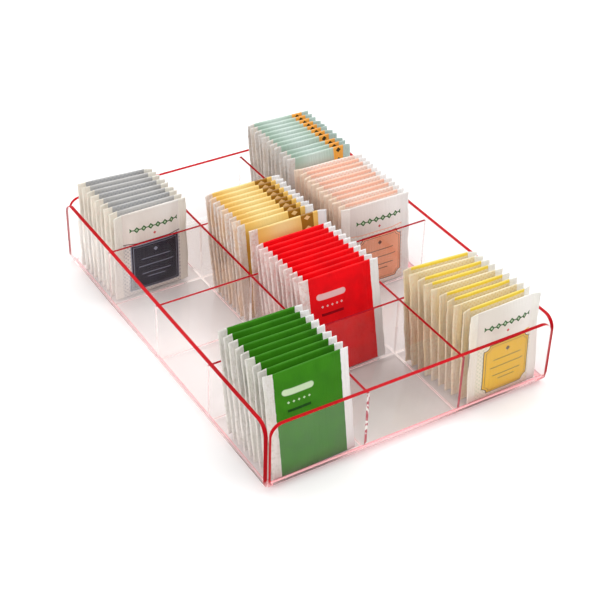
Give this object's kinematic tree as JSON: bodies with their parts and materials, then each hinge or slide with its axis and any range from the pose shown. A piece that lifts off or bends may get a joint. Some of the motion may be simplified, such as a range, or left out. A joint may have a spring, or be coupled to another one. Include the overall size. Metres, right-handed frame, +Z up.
{
  "type": "tea bag tray",
  "caption": "Clear open tray with red edges, parted by slotted dividers into compartments that hold standing rows of tea sachets, which lift out.",
  "frame": {"origin": "middle of the underside of the tray, on the surface that it stands on", "axes": "+X to the right across the short side, +Y to the back along the long side, +Z up"},
  "size_m": [0.24, 0.318, 0.081],
  "materials": {
    "clear_acrylic": "clear polished sheet with a faint pink cast, its saw-cut edges glossy red",
    "green_paper": "satin coated paper, leaf green with crimped white side seals",
    "red_paper": "satin coated paper, bright red with crimped white side seals",
    "amber_paper": "satin coated paper, amber fading lighter, with a brown end stripe and crimped white seals",
    "slate_paper": "matte cream paper with a slate blue top band and a dark blue label",
    "mint_paper": "satin coated paper, pale mint with an orange end stripe and crimped white seals",
    "peach_paper": "matte cream paper with a peach top band and a peach label",
    "yellow_paper": "matte cream paper with a yellow top band and a yellow label"
  },
  "bodies": {
    "tray": {"folded_tray": "clear_acrylic", "left_long_divider": "clear_acrylic", "right_long_divider": "clear_acrylic", "front_cross_divider": "clear_acrylic", "middle_cross_divider": "clear_acrylic", "back_cross_divider": "clear_acrylic"},
    "green_front": {"green_front_sachet": "green_paper"},
    "green_row": {"green_sachet_row": "green_paper"},
    "slate_front": {"slate_front_sachet": "slate_paper"},
    "slate_row": {"slate_sachet_row": "slate_paper"},
    "red_front": {"red_front_sachet": "red_paper"},
    "red_row": {"red_sachet_row": "red_paper"},
    "amber_front": {"amber_front_sachet": "amber_paper"},
    "amber_row": {"amber_sachet_row": "amber_paper"},
    "yellow_front": {"yellow_front_sachet": "yellow_paper"},
    "yellow_row": {"yellow_sachet_row": "yellow_paper"},
    "peach_front": {"peach_front_sachet": "peach_paper"},
    "peach_row": {"peach_sachet_row": "peach_paper"},
    "mint_front": {"mint_front_sachet": "mint_paper"},
    "mint_row": {"mint_sachet_row": "mint_paper"}
  },
  "joints": [
    {"name": "green_front_lift", "type": "slide", "parent": "tray", "child": "green_front", "axis": [-0.0048, 0.1701, 0.9854], "range_m": [0, 0.09]},
    {"name": "green_row_lift", "type": "slide", "parent": "tray", "child": "green_row", "axis": [-0.0031, 0.1788, 0.9839], "range_m": [0, 0.09]},
    {"name": "slate_front_lift", "type": "slide", "parent": "tray", "child": "slate_front", "axis": [0, 0.007, 1], "range_m": [0, 0.09]},
    {"name": "slate_row_lift", "type": "slide", "parent": "tray", "child": "slate_row", "axis": [0, 0.0105, 0.9999], "range_m": [0, 0.09]},
    {"name": "red_front_lift", "type": "slide", "parent": "tray", "child": "red_front", "axis": [-0.0016, 0.2249, 0.9744], "range_m": [0, 0.09]},
    {"name": "red_row_lift", "type": "slide", "parent": "tray", "child": "red_row", "axis": [-0.0016, 0.2266, 0.974], "range_m": [0, 0.09]},
    {"name": "amber_front_lift", "type": "slide", "parent": "tray", "child": "amber_front", "axis": [-0.0011, 0.1564, 0.9877], "range_m": [0, 0.09]},
    {"name": "amber_row_lift", "type": "slide", "parent": "tray", "child": "amber_row", "axis": [-0.0003, 0.1736, 0.9848], "range_m": [0, 0.09]},
    {"name": "yellow_front_lift", "type": "slide", "parent": "tray", "child": "yellow_front", "axis": [-0.0012, 0.061, 0.9981], "range_m": [0, 0.09]},
    {"name": "yellow_row_lift", "type": "slide", "parent": "tray", "child": "yellow_row", "axis": [-0.0008, 0.0785, 0.9969], "range_m": [0, 0.09]},
    {"name": "peach_front_lift", "type": "slide", "parent": "tray", "child": "peach_front", "axis": [0.0009, 0.0872, 0.9962], "range_m": [0, 0.09]},
    {"name": "peach_row_lift", "type": "slide", "parent": "tray", "child": "peach_row", "axis": [0.0013, 0.0958, 0.9954], "range_m": [0, 0.09]},
    {"name": "mint_front_lift", "type": "slide", "parent": "tray", "child": "mint_front", "axis": [0.0015, 0.1045, 0.9945], "range_m": [0, 0.09]},
    {"name": "mint_row_lift", "type": "slide", "parent": "tray", "child": "mint_row", "axis": [0.0018, 0.1132, 0.9936], "range_m": [0, 0.09]}
  ]
}
